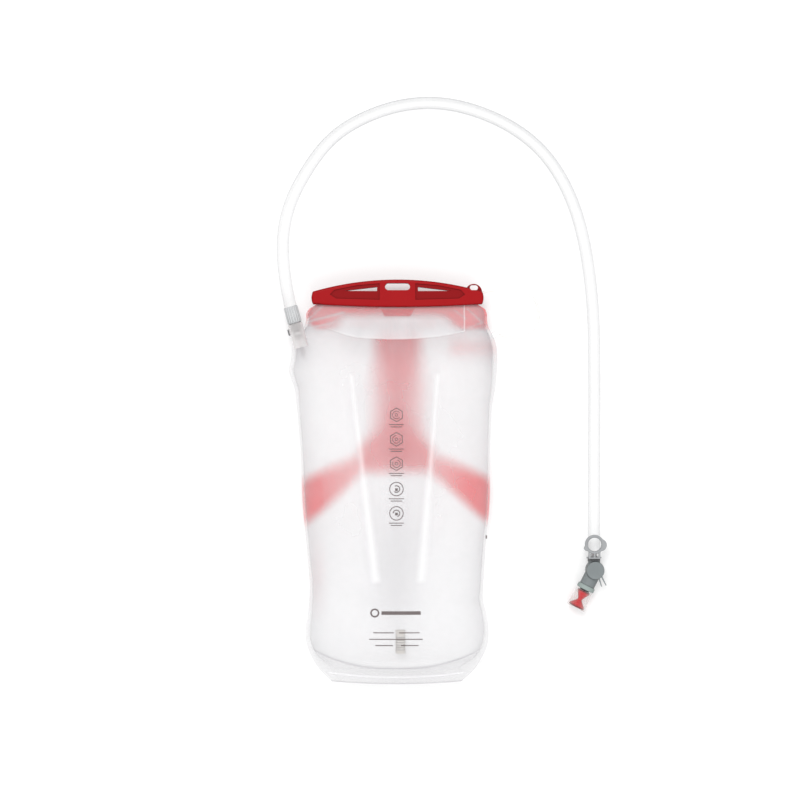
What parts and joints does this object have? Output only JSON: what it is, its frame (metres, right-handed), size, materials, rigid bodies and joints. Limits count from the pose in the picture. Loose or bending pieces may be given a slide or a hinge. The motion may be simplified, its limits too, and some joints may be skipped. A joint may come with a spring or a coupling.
{
  "type": "hydration bladder",
  "caption": "Soft drinking-water reservoir with slide-seal top, quick-connect drink hose and bite valve, lying on its back.",
  "frame": {"origin": "on the resting surface, under the middle of the box of the bag, its slide bar and its port (cord pieces left out)", "axes": "+Y from the bottom fin to the slide bar, +X to the wearer's left as the front panel faces up, +Z out of the front panel"},
  "size_m": [0.3241, 0.5774, 0.0602],
  "materials": {
    "frosted_film": "frosted translucent TPU film",
    "clear_film": "clear TPU film",
    "red_film": "red tinted TPU film",
    "rail_plastic": "tinted rail",
    "red_plastic": "glossy moulded red",
    "clear_tether": "clear cord",
    "clear_plastic": "clear moulded",
    "dark_plastic": "dark moulded",
    "grey_plastic": "grey moulded",
    "white_plastic": "white moulded",
    "seal_rubber": "O-ring rubber",
    "spring_steel": "stainless wire",
    "hose_clear": "clear TPU tube",
    "green_grey_rubber": "translucent grey-green",
    "clear_silicone": "clear silicone"
  },
  "bodies": {
    "bag": {"front_panel": "frosted_film", "back_panel": "frosted_film", "back_yoke": "red_film", "neck_band_front": "red_film", "neck_band_back": "red_film", "baffle_web_left": "clear_film", "baffle_web_right": "clear_film", "mouth_rail_front": "rail_plastic", "mouth_rail_back": "rail_plastic", "front_lip": "frosted_film", "lip_tab": "red_film", "tether_anchor": "clear_tether", "tether": "clear_tether", "port_socket": "clear_plastic", "poppet_spring": "spring_steel", "dip_tube": "clear_plastic", "pickup_strainer": "dark_plastic"},
    "slide_bar": {"slide_bar": "red_plastic"},
    "release_button": {"release_button": "dark_plastic"},
    "check_poppet": {"check_poppet": "white_plastic"},
    "drink_hose": {"hose_plug": "white_plastic", "plug_seal": "seal_rubber", "plug_grip": "grey_plastic", "hose": "hose_clear", "valve_spigot": "white_plastic", "swivel_seal": "seal_rubber", "hose_ferrule": "dark_plastic", "clip_ring": "grey_plastic"},
    "mouthpiece": {"elbow_body": "grey_plastic", "bite_band": "green_grey_rubber", "bite_sheath": "clear_silicone", "bite_core": "red_plastic"},
    "shutoff": {"shutoff_rotor": "white_plastic", "rotor_seal": "seal_rubber", "shutoff_lever": "grey_plastic"}
  },
  "joints": [
    {"name": "bar_slide", "type": "slide", "parent": "bag", "child": "slide_bar", "axis": [1, 0, 0], "range_m": [0, 0.17], "deforming": ["tether"]},
    {"name": "plug_slide", "type": "slide", "parent": "bag", "child": "drink_hose", "axis": [-0.2639, 0.9646, 0], "range_m": [0, 0.02]},
    {"name": "button_press", "type": "slide", "parent": "bag", "child": "release_button", "axis": [0.9646, 0.2639, 0], "range_m": [0, 0.0008], "stiffness_N_per_m": 1500, "springref_m": -0.0006},
    {"name": "poppet_lift", "type": "slide", "parent": "bag", "child": "check_poppet", "axis": [-0.2639, 0.9646, 0], "range_m": [0, 0.0032], "deforming": ["poppet_spring"]},
    {"name": "elbow_swivel", "type": "hinge", "parent": "drink_hose", "child": "mouthpiece", "pos_m": [0.1983, -0.08, 0.00975], "axis": [0, 1, 0], "continuous": true},
    {"name": "shutoff_turn", "type": "hinge", "parent": "mouthpiece", "child": "shutoff", "pos_m": [0.1991, -0.087, 0.0184], "axis": [0, 0, 1], "range_deg": [0, 90]}
  ],
  "couplings": [
    {"joint": "poppet_lift", "follows": "plug_slide", "ratio": 0.16}
  ]
}
